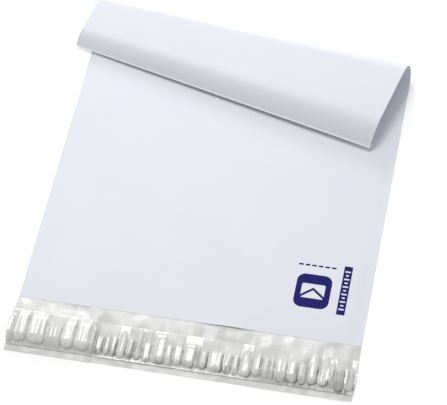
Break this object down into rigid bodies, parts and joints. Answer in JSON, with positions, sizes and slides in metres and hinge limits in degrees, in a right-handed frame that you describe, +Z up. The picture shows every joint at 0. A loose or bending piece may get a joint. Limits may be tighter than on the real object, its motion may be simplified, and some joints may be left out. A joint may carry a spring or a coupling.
{
  "type": "poly mailer bag",
  "caption": "Flat mailing bag of thin white film, lying with its sealed end rolled over, with an adhesive flap under a gathered release liner.",
  "frame": {"origin": "middle of the floor area that the bag takes up, on the floor", "axes": "+X across the mouth, +Y from the flap to the rolled end, +Z up from the floor through both panels"},
  "size_m": [0.2406, 0.2934, 0.0176],
  "materials": {
    "white_film": "satin polyethylene film, silver-grey on its inner face",
    "adhesive": "clear hot-melt adhesive, smooth and tacky",
    "liner": "clear glossy film, gathered",
    "print_ink": "navy printing ink, used by the print that lies on the front panel"
  },
  "bodies": {
    "root": {"bag_film": "white_film", "adhesive_strip": "adhesive", "release_liner": "liner"}
  },
  "joints": []
}
